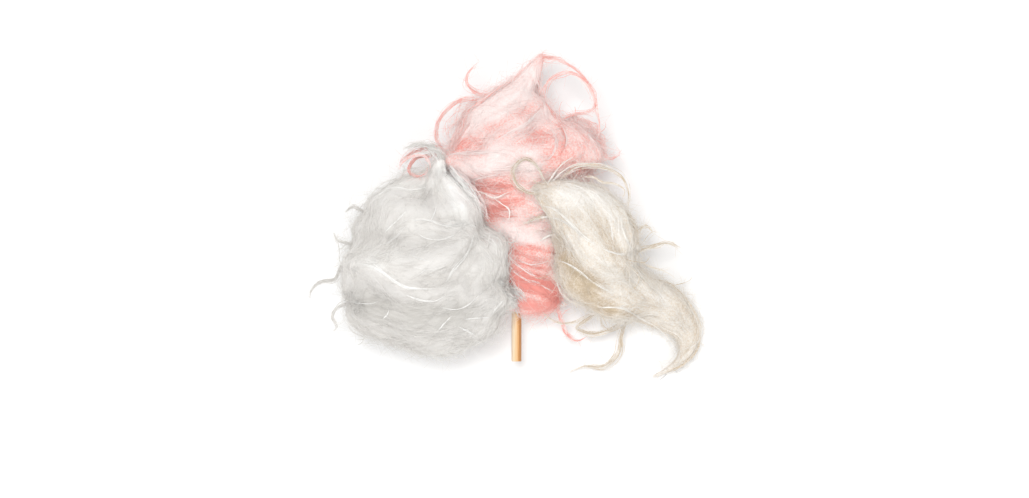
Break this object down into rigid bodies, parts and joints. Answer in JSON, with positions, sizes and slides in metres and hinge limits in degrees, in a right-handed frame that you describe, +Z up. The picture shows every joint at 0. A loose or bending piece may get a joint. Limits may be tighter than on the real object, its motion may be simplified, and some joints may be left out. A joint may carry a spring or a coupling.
{
  "type": "cotton candy",
  "caption": "Spun-sugar cotton candy on a wooden stick: white, pink and cream floss pressed into one fluffy cluster with curled locks and a swooping tail.",
  "frame": {"origin": "bottom centre of the bounding box, on the table that the candy lies on", "axes": "+X across the candy from the white floss to the cream floss, +Y from the stick to the peak of the pink floss, +Z up out of the shown side"},
  "size_m": [0.2762, 0.2266, 0.1172],
  "materials": {
    "pink_floss": "matte spun sugar fibres",
    "white_floss": "matte spun sugar fibres",
    "cream_floss": "matte spun sugar fibres",
    "wood": "smooth bare turned wood"
  },
  "bodies": {
    "root": {"pink_floss": "pink_floss", "white_floss": "white_floss", "cream_floss": "cream_floss", "stick": "wood"}
  },
  "joints": []
}
